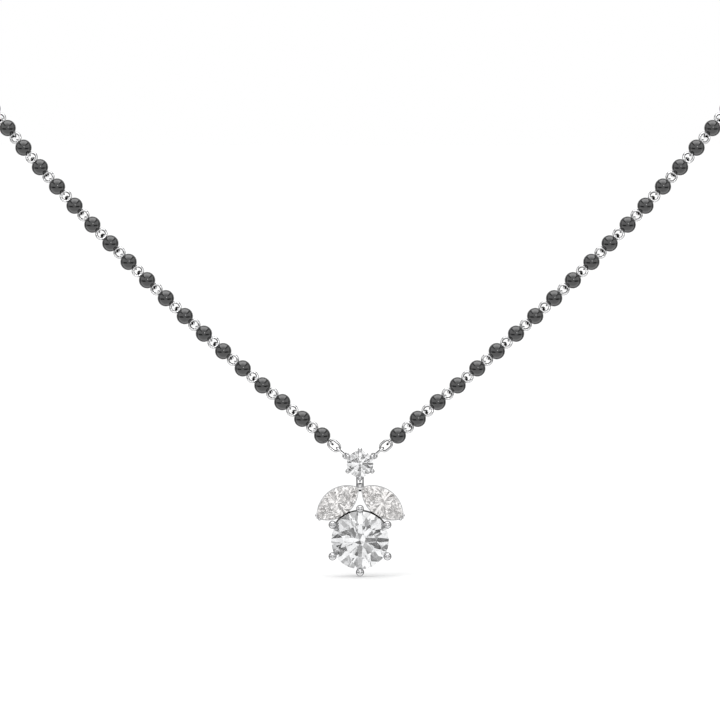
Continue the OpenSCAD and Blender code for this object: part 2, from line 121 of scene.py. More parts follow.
class Bench:
    """The workbench: selection, edit mode and placing, all through Blender's own operators."""

    @staticmethod
    def clear() -> None:
        """Leave edit mode and deselect every object."""
        if bpy.context.object and bpy.context.object.mode != "OBJECT":
            bpy.ops.object.mode_set(mode="OBJECT")
        bpy.ops.object.select_all(action="DESELECT")

    @staticmethod
    def pick(*objects: bpy.types.Object) -> bpy.types.Object:
        """Select only these objects and make the first one active.

        Args:
            objects: the objects to select.

        Returns:
            The active object.
        """
        Bench.clear()
        for item in objects:
            item.select_set(True)
        bpy.context.view_layer.objects.active = objects[0]
        return objects[0]

    @staticmethod
    def edit(item: bpy.types.Object, everything: bool = True) -> None:
        """Enter edit mode on one object.

        Args:
            item: the object to edit.
            everything: whether all of its faces start selected.
        """
        Bench.pick(item)
        bpy.ops.object.mode_set(mode="EDIT")
        bpy.ops.mesh.select_all(action="SELECT" if everything else "DESELECT")

    @staticmethod
    def close_seams(item: bpy.types.Object, reach: float = 0.0002 * MM) -> None:
        """Merge doubled points and turn every face outwards.

        Args:
            item: the object to close.
            reach: how near two points are merged, in metres.
        """
        Bench.edit(item)
        bpy.ops.mesh.remove_doubles(threshold=reach)
        bpy.ops.mesh.normals_make_consistent(inside=False)
        bpy.ops.object.mode_set(mode="OBJECT")

    @staticmethod
    def place(item: bpy.types.Object, matrix: Matrix) -> None:
        """Put the object's place into its mesh, so that it sits at the origin, unturned.

        Args:
            item: the object to place.
            matrix: where it goes.
        """
        Bench.pick(item)
        item.matrix_world = matrix
        bpy.ops.object.transform_apply(location=True, rotation=True, scale=True)

    @staticmethod
    def copy_of(item: bpy.types.Object, name: str) -> bpy.types.Object:
        """Copy an object together with its mesh.

        Args:
            item: the object to copy.
            name: the copy's name.

        Returns:
            The copy.
        """
        twin = item.copy()
        twin.data = item.data.copy()
        twin.name = name
        bpy.context.scene.collection.objects.link(twin)
        return twin

    @staticmethod
    def joined(items: list[bpy.types.Object], name: str) -> bpy.types.Object:
        """Join objects into one piece at the origin.

        Args:
            items: the objects to join, already in place.
            name: the piece's name.

        Returns:
            The joined piece.
        """
        piece = Bench.pick(*items)
        bpy.ops.object.join()
        piece.name = name
        piece.data.name = name
        return piece


class Nodes:
    """A short way to add and link shader nodes in one tree."""

    def __init__(self, tree: bpy.types.NodeTree) -> None:
        """Keep the tree that the nodes go into."""
        self.tree = tree

    def add(self, kind: str, **inputs: object) -> bpy.types.Node:
        """Add a node and set or link its inputs.

        Args:
            kind: the node's type without its ShaderNode prefix.
            inputs: values or output sockets, by input name with _ for a space.

        Returns:
            The new node.
        """
        node = self.tree.nodes.new("ShaderNode" + kind)
        for name, value in inputs.items():
            self.set(node.inputs[name.replace("_", " ")], value)
        return node

    def set(self, socket: bpy.types.NodeSocket, value: object) -> None:
        """Link a socket to an output, or set its value."""
        if isinstance(value, bpy.types.NodeSocket):
            self.tree.links.new(value, socket)
        else:
            socket.default_value = value

    def math(self, operation: str, *values: object) -> bpy.types.NodeSocket:
        """Add a Math node.

        Args:
            operation: the node's operation.
            values: numbers or sockets for its inputs, in order.

        Returns:
            The node's output.
        """
        node = self.tree.nodes.new("ShaderNodeMath")
        node.operation = operation
        for socket, value in zip(node.inputs, values):
            self.set(socket, value)
        return node.outputs[0]

    def step(self, value: object, low: float, high: float) -> bpy.types.NodeSocket:
        """Rise softly from 0 to 1 while a value goes from low to high.

        Args:
            value: the value.
            low: where the rise begins.
            high: where it ends.

        Returns:
            The share.
        """
        node = self.tree.nodes.new("ShaderNodeMapRange")
        node.interpolation_type = "SMOOTHSTEP"
        for name, amount in (("Value", value), ("From Min", low), ("From Max", high)):
            self.set(node.inputs[name], amount)
        return node.outputs[0]

    def vector(self, operation: str, *values: object) -> bpy.types.NodeSocket:
        """Add a Vector Math node.

        Args:
            operation: the node's operation.
            values: vectors or sockets for its inputs, in order.

        Returns:
            The node's number for a distance or a dot product, and its vector otherwise.
        """
        node = self.tree.nodes.new("ShaderNodeVectorMath")
        node.operation = operation
        for socket, value in zip(node.inputs, values):
            self.set(socket, value)
        return node.outputs["Value" if operation in ("DISTANCE", "DOT_PRODUCT") else "Vector"]

    def blend(self, share: object, low: object, high: object) -> bpy.types.NodeSocket:
        """Mix two colours.

        Args:
            share: how much of the second colour.
            low: the first colour, or a grey's value.
            high: the second one.

        Returns:
            The mixed colour.
        """
        node = self.tree.nodes.new("ShaderNodeMix")
        node.data_type = "RGBA"
        self.set(node.inputs["Factor"], share)
        for place, colour in ((6, low), (7, high)):
            grey = isinstance(colour, float)
            self.set(node.inputs[place], (colour, colour, colour, 1.0) if grey else colour)
        return node.outputs[2]


class FineWear:
    """A node group for fine handling marks: clouds, roughness and a very low relief."""

    NAME = "fine_wear"
    FINER = 4.0

    @staticmethod
    def group() -> bpy.types.NodeTree:
        """Return the group, which is built the first time it is asked for."""
        if FineWear.NAME in bpy.data.node_groups:
            return bpy.data.node_groups[FineWear.NAME]
        tree = bpy.data.node_groups.new(FineWear.NAME, "ShaderNodeTree")
        face = tree.interface
        for name, value in (("Scale", 1000.0), ("Roughness", 0.1), ("Spread", 0.05)):
            socket = face.new_socket(name=name, in_out="INPUT", socket_type="NodeSocketFloat")
            socket.default_value = value
        for name in ("Cloud", "Roughness", "Height"):
            face.new_socket(name=name, in_out="OUTPUT", socket_type="NodeSocketFloat")
        nodes = Nodes(tree)
        ends = tree.nodes.new("NodeGroupInput")
        place = nodes.add("TexCoord").outputs["Object"]
        cloud = nodes.add("TexNoise", Vector=place, Scale=ends.outputs["Scale"], Detail=3.0)
        fine_scale = nodes.math("MULTIPLY", ends.outputs["Scale"], FineWear.FINER)
        fine = nodes.add("TexNoise", Vector=place, Scale=fine_scale, Detail=2.0)
        swing = nodes.math("SUBTRACT", fine.outputs["Fac"], 0.5)
        swing = nodes.math("MULTIPLY", swing, ends.outputs["Spread"])
        rough = nodes.math("ADD", swing, ends.outputs["Roughness"])
        rough = nodes.math("MAXIMUM", rough, 0.0)
        out = tree.nodes.new("NodeGroupOutput")
        tree.links.new(cloud.outputs["Fac"], out.inputs["Cloud"])
        tree.links.new(rough, out.inputs["Roughness"])
        tree.links.new(cloud.outputs["Fac"], out.inputs["Height"])
        return tree

    @staticmethod
    def place(nodes: Nodes, scale: float, roughness: float, spread: float) -> bpy.types.Node:
        """Put the group into a material.

        Args:
            nodes: the material's nodes.
            scale: marks to a metre.
            roughness: the middle roughness.
            spread: how far the roughness varies.

        Returns:
            The group node.
        """
        node = nodes.tree.nodes.new("ShaderNodeGroup")
        node.node_tree = FineWear.group()
        node.inputs["Scale"].default_value = scale
        node.inputs["Roughness"].default_value = roughness
        node.inputs["Spread"].default_value = spread
        return node


@dataclass(frozen=True)
class Finish:
    """What every finish has: a name, two near colours and its fine wear."""

    name: str
    light: Triple
    dark: Triple
    roughness: float
    spread: float
    scale: float
    relief: float = 0.0
    relief_depth: float = 0.02 * MM

    @classmethod
    def like(cls, other: "Finish", name: str, **own: object) -> "Finish":
        """Make a finish of this kind with another one's colours and wear.

        Args:
            other: the finish that it is like.
            name: its own name.
            own: what this kind of finish has besides.

        Returns:
            The finish.
        """
        return cls(name, other.light, other.dark, other.roughness, other.spread, other.scale,
                   other.relief, **own)

    def material(self) -> bpy.types.Material:
        """Return the finish's material, which is built the first time it is asked for."""
        if self.name in bpy.data.materials:
            return bpy.data.materials[self.name]
        made = bpy.data.materials.new(self.name)
        made.use_nodes = True
        nodes = Nodes(made.node_tree)
        shader = made.node_tree.nodes["Principled BSDF"]
        wear = FineWear.place(nodes, self.scale, self.roughness, self.spread)
        colour = nodes.blend(wear.outputs["Cloud"], (*self.dark, 1.0), (*self.light, 1.0))
        nodes.set(shader.inputs["Base Color"], self.colour(nodes, colour))
        nodes.set(shader.inputs["Roughness"], wear.outputs["Roughness"])
        if self.relief:
            bump = nodes.add("Bump", Strength=self.relief, Distance=self.relief_depth,
                             Height=wear.outputs["Height"])
            nodes.set(shader.inputs["Normal"], bump.outputs["Normal"])
        self.settle(shader)
        return made

    def colour(self, nodes: Nodes, plain: bpy.types.NodeSocket) -> bpy.types.NodeSocket:
        """Return the colour, which a kind of finish may change from place to place."""
        return plain

    def settle(self, shader: bpy.types.Node) -> None:
        """Set the shader's own sockets, which a kind of finish adds to."""

    def put_on(self, item: bpy.types.Object) -> None:
        """Give an object this finish in all of its material slots."""
        if not item.material_slots:
            item.data.materials.append(self.material())
        for place in item.material_slots:
            place.material = self.material()


@dataclass(frozen=True)
class WhitePlate(Finish):
    """Silver under a bright white plating, which darkens where it is seen at a flat angle."""

    rim: Triple = (0.12, 0.12, 0.125)

    def settle(self, shader: bpy.types.Node) -> None:
        """Make the shader a metal."""
        shader.inputs["Metallic"].default_value = 1.0
        shader.inputs["Specular Tint"].default_value = (*self.rim, 1.0)


@dataclass(frozen=True)
class SeamShadedPlate(WhitePlate):
    """The same plating, with painted shade in the seam where the leaves meet the round stone's
    edge.
    """

    middle: Triple = (0.0, 0.0, 0.0)
    seam: Pair = (0.0, 1.0)
    depth: float = 0.0
    # Painted shade in the seam, and painted black shadow where the leaves touch it.
    seam_shade: float = 0.13
    shadow_black: float = 0.012
    joints: Pair = (0.36, 0.70)
    contact_fade: float = 0.04
    soft: float = 0.03 * MM
    spots: tuple[tuple[float, float, float, float], ...] = ()

    def colour(self, nodes: Nodes, plain: bpy.types.NodeSocket) -> bpy.types.NodeSocket:
        """Paint shade into the seam, and a painted black shadow where a leaf touches it.

        Args:
            nodes: the material's nodes.
            plain: the plating's colour.

        Returns:
            The colour.
        """
        where = nodes.add("TexCoord").outputs["Object"]
        axes = nodes.add("SeparateXYZ", Vector=nodes.vector("SUBTRACT", where, self.middle))
        x, y, z = (axes.outputs[i] for i in range(3))
        radius = nodes.math("SQRT", nodes.math("ADD", nodes.math("MULTIPLY", x, x),
                                               nodes.math("MULTIPLY", z, z)))
        soft, fade = self.soft, self.contact_fade
        masks = [nodes.step(radius, self.seam[0] - soft, self.seam[0]),
                 nodes.step(radius, self.seam[1] + soft, self.seam[1]),
                 nodes.step(y, 0.0, soft), nodes.step(y, self.depth + soft, self.depth),
                 nodes.step(z, 0.0, soft)]
        seam = masks[0]
        for mask in masks[1:]:
            seam = nodes.math("MULTIPLY", seam, mask)
        lean = nodes.math("ARCTAN2", nodes.math("ABSOLUTE", x), z)
        contact_shadow = nodes.math("MULTIPLY", nodes.step(lean, self.joints[0] - fade, self.joints[0]),
                           nodes.step(lean, self.joints[1] + fade, self.joints[1]))
        # Painted shade in the seam, turning to a painted black contact shadow where a leaf touches
        # the setting.
        dark = nodes.blend(contact_shadow, self.seam_shade, self.shadow_black)
        colour = nodes.blend(seam, plain, dark)
        # Painted black shadow spots in the dark gaps between the drop's parts.
        for *place, reach in self.spots:
            near = nodes.step(nodes.vector("DISTANCE", where, tuple(place)), reach + soft, reach)
            colour = nodes.blend(near, colour, self.shadow_black)
        return colour


@dataclass(frozen=True)
class LinkPlate(WhitePlate):
    """The same plating, with painted black shade on a link's inner side.

    Its edge has painted grey shade. Both are found by how far a face points away from the link's
    middle, where
    1 is straight away from it.
    """

    middle: Triple = (0.0, 0.0, 0.0)
    # Painted black shade on the inner side, and painted grey shade on the edge.
    inside: Pair = (0.0, -0.15)
    dull: Pair = (0.55, 0.85)
    shadow_black: float = 0.014
    grey: float = 0.4

    def colour(self, nodes: Nodes, plain: bpy.types.NodeSocket) -> bpy.types.NodeSocket:
        """Paint black shade on the faces that point to the link's middle, and grey shade on those
        on the edge.

        Args:
            nodes: the material's nodes.
            plain: the plating's colour.

        Returns:
            The colour.
        """
        place = nodes.add("TexCoord")
        away = nodes.vector("SUBTRACT", place.outputs["Object"], self.middle)
        facing = nodes.vector("DOT_PRODUCT", nodes.vector("NORMALIZE", away),
                              place.outputs["Normal"])
        dulled = nodes.blend(nodes.step(facing, *self.dull), plain, self.grey)
        return nodes.blend(nodes.step(facing, *self.inside), dulled, self.shadow_black)


@dataclass(frozen=True)
class BlackOnyx(Finish):
    """Polished black stone, with a pale bloom where it is seen at a flat angle."""

    index: float = 1.95
    rim: float = 0.25

    def settle(self, shader: bpy.types.Node) -> None:
        """Give the shader the stone's gloss."""
        shader.inputs["IOR"].default_value = self.index
        shader.inputs["Sheen Weight"].default_value = self.rim


@dataclass(frozen=True)
class ClearStone(Finish):
    """A clear cut stone."""

    index: float = 2.4
    glow: float = 0.0

    def settle(self, shader: bpy.types.Node) -> None:
        """Make the shader clear, with the stone's index."""
        shader.inputs["Transmission Weight"].default_value = 1.0
        shader.inputs["IOR"].default_value = self.index
        shader.inputs["Emission Color"].default_value = (*self.light, 1.0)
        shader.inputs["Emission Strength"].default_value = self.glow


PLATE = WhitePlate(
    "rhodium_plate", light=(0.79, 0.79, 0.795), dark=(0.73, 0.73, 0.74),
    roughness=0.09, spread=0.06, scale=1500.0, relief=0.15)
# The same plating painted lighter for the links, pins and rings: painted light.
LIT_LINK_PLATE = WhitePlate(
    "lit_link_plate", light=(0.97, 0.97, 0.975), dark=(0.92, 0.92, 0.93),
    roughness=0.09, spread=0.06, scale=1500.0, relief=0.15)
# Painted black shade, for the rings' inner sides, the boss recesses and the long eye's end.
PAINTED_SHADE = WhitePlate(
    "painted_shade", light=(0.014, 0.014, 0.014), dark=(0.008, 0.008, 0.008),
    roughness=0.3, spread=0.1, scale=1500.0)
ONYX = BlackOnyx(
    "onyx_polish", light=(0.012, 0.012, 0.013), dark=(0.005, 0.005, 0.006),
    roughness=0.08, spread=0.05, scale=900.0, relief=0.1)
DIAMOND = ClearStone(
    "brilliant_clear", light=(1.0, 1.0, 1.0), dark=(0.95, 0.96, 0.98),
    roughness=0.0, spread=0.01, scale=500.0)
LEAF_DIAMOND = ClearStone(
    "marquise_clear", light=(1.0, 0.985, 0.975), dark=(1.0, 0.97, 0.955),
    roughness=0.02, spread=0.01, scale=500.0, glow=0.028)
LEAF_MAINS = [0, 38, 64, 90, 116, 142, 180, 218, 244, 270, 296, 322]


@dataclass
class Facet:
    """A ring of facets: their directions and two points of their slope, as shares.

    Each point is a share of the stone's half width and a share of the crown or pavilion.
    """

    directions: list[float]
    low: Pair
    high: Pair


@dataclass
class CutStone:
    """One stone, cut from a round blank plane by plane as a real one is."""

    node: str
    body: str
    length: float
    width: float
    outline: Outline
    finish: Finish
    turn: float = 0.0
    mains: list[float] = field(default_factory=lambda: [i * 45.0 for i in range(8)])
    table: float = 0.57
    crown: float = 0.15
    pavilion: float = 0.43
    girdle: float = 0.08 * MM
    star_share: float = 0.763
    star_height: float = 0.686
    low_share: float = 0.24
    half_reach: float = 0.992
    half_share: float = 0.981
    blank_sides: int = 96
    blank_spare: float = 0.2 * MM
    cut_width: float = 1e-8
    tip: float = 30.0
    tip_step: float = 4.0

    def reach(self, direction: float) -> float:
        """How far the girdle reaches in a direction.

        Args:
            direction: the direction in degrees.

        Returns:
            The distance in metres.
        """
        if self.outline is Outline.ROUND:
            return self.width / 2
        arc = (self.length ** 2 + self.width ** 2) / (4 * self.width)
        turn = math.radians(direction)
        along, across = abs(math.cos(turn)), abs(math.sin(turn))
        if arc * along > self.length / 2:
            return self.length / 2 * along
        return arc - (arc - self.width / 2) * across

    def between(self, *shares: float) -> list[float]:
        """Directions at these shares of the way from each main to the next."""
        onward = self.mains[1:] + self.mains[:1]
        return [here + (there - here) % 360 * share
                for here, there in zip(self.mains, onward) for share in shares]

    def blank_cuts(self) -> list[float]:
        """Directions of the planes that give a pointed blank its two curved sides."""
        count = round((180 - 2 * self.tip) / self.tip_step) + 1
        return [start + i * self.tip_step
                for i in range(count) for start in (self.tip, 180 + self.tip)]

    def cut(self, point: Vector, normal: Vector) -> None:
        """Cut away what lies outside a plane.

        Args:
            point: a point of the plane.
            normal: the plane's outward normal.
        """
        bpy.ops.mesh.select_all(action="SELECT")
        bpy.ops.mesh.bisect(plane_co=point, plane_no=normal, use_fill=True,
                            clear_outer=True, threshold=self.cut_width)

    def cut_ring(self, ring: Facet, base: float, height: float) -> None:
        """Cut one ring of facets.

        Args:
            ring: the facets.
            base: the height of the girdle's edge.
            height: the crown's height, or the pavilion's depth with a minus sign.
        """
        for direction in ring.directions:
            reach = self.reach(direction)
            out = heading(direction)
            low = out * (reach * ring.low[0]) + Vector((0, 0, base + height * ring.low[1]))
            run = reach * (ring.low[0] - ring.high[0])
            rise = height * (ring.high[1] - ring.low[1])
            normal = out * abs(rise) + Vector((0, 0, math.copysign(run, height)))
            self.cut(low, normal.normalized())

    def build(self) -> bpy.types.Object:
        """Cut the stone, put it in its setting and let it stand for its CAD node.

        Returns:
            The finished stone.
        """
        crown, pavilion = self.crown * self.width, self.pavilion * self.width
        Bench.clear()
        bpy.ops.mesh.primitive_cylinder_add(
            vertices=self.blank_sides, radius=self.length / 2,
            depth=crown + pavilion + self.girdle + self.blank_spare,
            location=(0, 0, (crown - pavilion - self.girdle) / 2))
        stone = bpy.context.object
        bpy.ops.object.transform_apply(location=True, rotation=True, scale=True)
        Bench.edit(stone)
        if self.outline is Outline.POINTED:
            for direction in self.blank_cuts():
                self.cut(heading(direction) * self.reach(direction), heading(direction))
        half = math.cos(math.pi / len(self.mains))
        star = (self.star_share, self.star_height)
        halves, edge = self.between(1 / 4, 3 / 4), (self.half_reach, 0)
        self.cut(Vector((0, 0, crown)), Vector((0, 0, 1)))
        self.cut_ring(Facet(self.mains, (1, 0), (self.table, 1)), 0, crown)
        self.cut_ring(Facet(halves, edge, (star[0] * self.half_share, star[1])), 0, crown)
        self.cut_ring(Facet(self.between(1 / 2), star, (self.table * half, 1)), 0, crown)
        self.cut_ring(Facet(self.mains, (1, 0), (0, 1)), -self.girdle, -pavilion)
        deep = (self.low_share * self.half_share, 1 - self.low_share * half)
        self.cut_ring(Facet(halves, edge, deep), -self.girdle, -pavilion)
        Bench.close_seams(stone)
        middle, front = middle_of(self.node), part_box(self.node)[0][1]
        place = Matrix.Translation((middle.x, front + crown, middle.z))
        place = place @ Matrix.Rotation(QUARTER, 4, "X")
        place = place @ Matrix.Rotation(math.radians(self.turn), 4, "Z")
        Bench.place(stone, place)
        stone.name = stone.data.name = self.node + "_cut"
        self.finish.put_on(stone)
        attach(stone, self.body)
        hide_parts(self.node)
        return stone


@dataclass
class StrandLinks:
    """The eye pins and jump rings that join the beads of one strand."""

    side: Side
    bead_r: float = 1.0 * MM
    ring_r: float = 0.59 * MM
    ring_wire: float = 0.33 * MM
    ring_steps: int = 14
    ring_turn: float = 357.0
    ring_roll: float = 8.0
    # Where the ring gets painted black shade: inward faces at its two flanks.
    ring_shade: Pair = (0.6, -0.8)
    wire_sides: int = 6
    eye_r: float = 0.26 * MM
    eye_wire: float = 0.16 * MM
    eye_out: float = 0.03 * MM
    eye_steps: int = 10
    eye_turn: float = 345.0
    eye_rolls: Pair = (20.0, 65.0)
    first_eye_r: float = 0.42 * MM
    first_eye_out: float = 0.3 * MM
    first_eye_roll: float = 10.0
    first_eye_tip: float = 0.53 * MM
    boss_r: float = 0.27 * MM
    boss_thick: float = 0.2 * MM
    boss_dome: float = 0.03 * MM
    boss_out: float = 0.29 * MM
    boss_sides: int = 10
    recess_r: float = 0.15 * MM
    recess_depth: float = 0.035 * MM
    recess_slope: float = 0.01 * MM
    weld: float = 0.001 * MM

    def beads(self) -> list[Vector]:
        """Find the middles of the strand's beads, in order from the pendant.

        Returns:
            The middles.
        """
        model = frame["nodes"][f"bead_strand_{self.side.value}"]
        twin = Bench.copy_of(model, "bead_finder")
        Bench.edit(twin)
        bpy.ops.mesh.remove_doubles(threshold=self.weld)
        bpy.ops.mesh.separate(type="LOOSE")
        bpy.ops.object.mode_set(mode="OBJECT")
        parts = list(bpy.context.selected_objects)
        middles = []
        for part in parts:
            corners = [Vector(corner) for corner in part.bound_box]
            middles.append(sum(corners, Vector()) / len(corners))
        for part in parts:
            mesh = part.data
            bpy.data.objects.remove(part)
            bpy.data.meshes.remove(mesh)
        here = middle_of("top_stone")
        ordered = []
        while middles:
            here = min(middles, key=lambda middle: (middle - here).length)
            middles.remove(here)
            ordered.append(here)
        return ordered

    @staticmethod
    def plate_and_shade(item: bpy.types.Object) -> None:
        """Give a piece the bright link plating first and the painted black shade second."""
        item.data.materials.append(LIT_LINK_PLATE.material())
        item.data.materials.append(PAINTED_SHADE.material())

    def section(self, wire: float, at: float, rotation: Triple = (0, 0, 0)) -> bpy.types.Object:
        """Draw a wire's cross-section and open it in edit mode, for a spin or an extrusion.

        Args:
            wire: the wire's diameter.
            at: the section's place along X.
            rotation: its turn, in radians.

        Returns:
            The section.
        """
        Bench.clear()
        bpy.ops.mesh.primitive_circle_add(
            vertices=self.wire_sides, radius=wire / 2, fill_type="NGON",
            location=(at, 0, 0), rotation=rotation)
        drawn = bpy.context.object
        bpy.ops.object.transform_apply(location=True, rotation=True, scale=True)
        Bench.edit(drawn)
        return drawn

    def jump_ring(self) -> bpy.types.Object:
        """Model one jump ring in the XY plane, with its fine joint and painted black shade on its
        inner side.

        Returns:
            The ring.
        """
        ring = self.section(self.ring_wire, self.ring_r, (QUARTER, math.pi / self.wire_sides, 0))
        bpy.ops.mesh.spin(steps=self.ring_steps, angle=math.radians(self.ring_turn),
                          center=(0, 0, 0), axis=(0, 0, 1))
        bpy.ops.object.mode_set(mode="OBJECT")
        Bench.close_seams(ring)
        bpy.ops.object.shade_smooth_by_angle(angle=SMOOTH)
        self.plate_and_shade(ring)
        # Inward faces at the ring's two flanks get the painted black shade.
        side, inward = self.ring_shade
        for face in ring.data.polygons:
            outward = Vector((face.center.x, face.center.y, 0)).normalized()
            dark = abs(outward.y) > side and face.normal.dot(outward) < inward
            face.material_index = 1 if dark else 0
        return ring

    def boss(self) -> bpy.types.Object:
        """Model the boss at an eye's far end, in the XZ plane, with a recess in each face that
        carries painted black shade.

        Returns:
            The boss.
        """
        Bench.clear()
        bpy.ops.mesh.primitive_cylinder_add(
            vertices=self.boss_sides, radius=self.boss_r, depth=self.boss_thick,
            location=(self.bead_r + self.boss_out, 0, 0), rotation=(QUARTER, 0, 0))
        boss = bpy.context.object
        bpy.ops.object.transform_apply(location=True, rotation=True, scale=True)
        self.plate_and_shade(boss)
        Bench.edit(boss, everything=False)
        bpy.ops.mesh.select_mode(type="FACE")
        bpy.ops.mesh.select_face_by_sides(number=self.boss_sides)
        bpy.ops.mesh.inset(thickness=self.boss_r - self.recess_r, depth=self.boss_dome,
                           use_individual=True)
        bpy.ops.mesh.inset(thickness=self.recess_slope, depth=-self.recess_depth,
                           use_individual=True)
        bpy.ops.mesh.select_more()
        # The recess's floor and walls get the painted black shade.
        boss.active_material_index = 1
        bpy.ops.object.material_slot_assign()
        bpy.ops.mesh.select_mode(type="VERT")
        bpy.ops.object.mode_set(mode="OBJECT")
        return boss

    def eye(self, out: float, radius: float, bossed: bool = False) -> bpy.types.Object:
        """Model half an eye pin along X, its eye in the XZ plane past the bead's pole.

        Args:
            out: how far the eye's middle stands past the pole.
            radius: the eye's radius, to the middle of its wire.
            bossed: whether the eye ends in a boss.

        Returns:
            The half pin.
        """
        middle = self.bead_r + out
        start = middle - radius
        loop = self.section(self.eye_wire, start)
        bpy.ops.mesh.spin(steps=self.eye_steps, angle=math.radians(self.eye_turn),
                          center=(middle, 0, 0), axis=(0, 1, 0))
        bpy.ops.object.mode_set(mode="OBJECT")
        shank = self.section(self.eye_wire, start, (0, QUARTER, 0))
        bpy.ops.mesh.extrude_region_move(TRANSFORM_OT_translate={"value": (-start, 0, 0)})
        bpy.ops.object.mode_set(mode="OBJECT")
        self.plate_and_shade(loop)
        self.plate_and_shade(shank)
        pin = Bench.joined([loop, shank, *([self.boss()] if bossed else [])], "half_pin")
        Bench.close_seams(pin)
        bpy.ops.object.shade_smooth_by_angle(angle=SMOOTH)
        return pin

    def first_eye(self) -> bpy.types.Object:
        """Model the long eye that holds the oval link, with painted black shade on its end.

        Returns:
            The half pin.
        """
        pin = self.eye(self.first_eye_out, self.first_eye_r)
        # Faces past the tip get the painted black shade.
        for face in pin.data.polygons:
            if face.center.x > self.bead_r + self.first_eye_tip:
                face.material_index = 1
        return pin

    @staticmethod
    def stand(at: Vector, along: Vector, front: Vector, roll: float = 0.0) -> Matrix:
        """Stand a frame on the strand: X along it and Z to its front, rolled about X.

        Args:
            at: the frame's origin.
            along: the strand's direction.
            front: the strand's front, square to along.
            roll: the roll in degrees.

        Returns:
            The frame.
        """
        side = front.cross(along)
        turn = Matrix((along, side, front)).transposed().to_4x4()
        return Matrix.Translation(at) @ turn @ Matrix.Rotation(math.radians(roll), 4, "X")

    def build(self) -> list[bpy.types.Object]:
        """Thread the whole strand.

        Returns:
            The eye pins and the jump rings, each as one piece.
        """
        beads = self.beads()
        ring, first = self.jump_ring(), self.first_eye()
        plain = self.eye(self.eye_out, self.eye_r)
        bossed = self.eye(self.eye_out, self.eye_r, bossed=True)
        rings, pins = [], []
        front = Vector((0, -1, 0))
        flip = 1 if self.side is Side.RIGHT else -1
        for i, bead in enumerate(beads):
            even = i % 2 == 0
            mate = beads[i + 1] if even else beads[i - 1]
            along = (mate - bead if even else bead - mate).normalized()
            front = (front - front.dot(along) * along).normalized()
            sway = 1 if even else -1
            pin = plain if even else bossed
            for end, way in ((first if i == 0 else pin, -1), (pin, 1)):
                copy = Bench.copy_of(end, "pin_copy")
                roll = self.first_eye_roll if end is first else self.eye_rolls[i % 2]
                roll *= flip * way * sway
                copy.data.transform(self.stand(bead, along * way, front, roll))
                pins.append(copy)
            if i + 1 < len(beads):
                onward = (beads[i + 1] - bead).normalized() * sway
                face = (front - front.dot(onward) * onward).normalized()
                copy = Bench.copy_of(ring, "ring_copy")
                copy.data.transform(self.stand((bead + beads[i + 1]) / 2, onward, face,
                                               flip * self.ring_roll))
                rings.append(copy)
        for model in (ring, first, plain, bossed):
            bpy.data.objects.remove(model)
        made = [Bench.joined(pins, f"eye_pins_{self.side.value}"),
                Bench.joined(rings, f"jump_rings_{self.side.value}")]
        for piece in made:
            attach(piece, "necklace")
            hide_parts(f"link_wire_{self.side.value}")
        return made


@dataclass
class ModelDress:
    """The finishes of the solids that the CAD model already gives their full shape."""

    beads: list[str] = field(default_factory=lambda: ["bead_strand_left", "bead_strand_right"])
    links: list[str] = field(default_factory=lambda: [
        "oval_link_left", "oval_link_right", "side_link_left", "side_link_right"])
    metal: list[str] = field(default_factory=lambda: [
        "end_ring_left", "end_ring_right", "clasp", "top_setting"])
    # Where each link gets painted grey shade: on the oval links' rims and on the side links'
    # flanks.
    dull_rim: Pair = (0.55, 0.85)
    dull_flank: Pair = (0.85, 0.6)
    seam_wide: float = 0.24 * MM
    seam_deep: float = 0.4 * MM
    seam_back: float = 0.05 * MM
    # Painted black shadow spots: depth, how far below the top stone's middle, and reach.
    spots: tuple[tuple[float, float, float], ...] = (
        (-104.15 * MM, 3.19 * MM, 0.17 * MM), (-104.0 * MM, 2.36 * MM, 0.16 * MM))

    def hollow(self, node: str) -> Finish:
        """Return one link's finish: painted grey shade on an oval link's rim, or on a side link's
        flanks.
        """
        dull = self.dull_rim if node.startswith("oval") else self.dull_flank
        return LinkPlate.like(LIT_LINK_PLATE, f"{node}_plate", middle=tuple(middle_of(node)), dull=dull)

    def seam_shaded(self) -> Finish:
        """Return the finish of the drop's setting, with painted shade in the seam round the centre
        stone.

        The painted shadow spots are given by their place in depth, how far they lie below the
        middle of the top stone, and their reach.
        """
        low, high = (Vector(corner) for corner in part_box("centre_stone"))
        wide = high.x - low.x
        girdle = low.y + CutStone.crown * wide
        top = middle_of("top_stone").z
        return SeamShadedPlate.like(
            PLATE, "soldered_plate", middle=(0.0, girdle + self.seam_back, (low.z + high.z) / 2),
            seam=(wide / 2, wide / 2 + self.seam_wide), depth=self.seam_deep,
            spots=tuple((0.0, y, top - below, reach) for y, below, reach in self.spots))

    def build(self) -> list[bpy.types.Object]:
        """Dress the solids.

        Returns:
            The dressed objects.
        """
        done = []
        finishes = {name: ONYX for name in self.beads}
        finishes.update({name: self.hollow(name) for name in self.links})
        finishes.update({name: PLATE for name in self.metal})
        # The drop's setting gets painted shade in its seam and painted shadow spots.
        finishes["drop_setting"] = self.seam_shaded()
        for name, finish in finishes.items():
            item = frame["nodes"][name]
            finish.put_on(item)
            done.append(item)
        return done


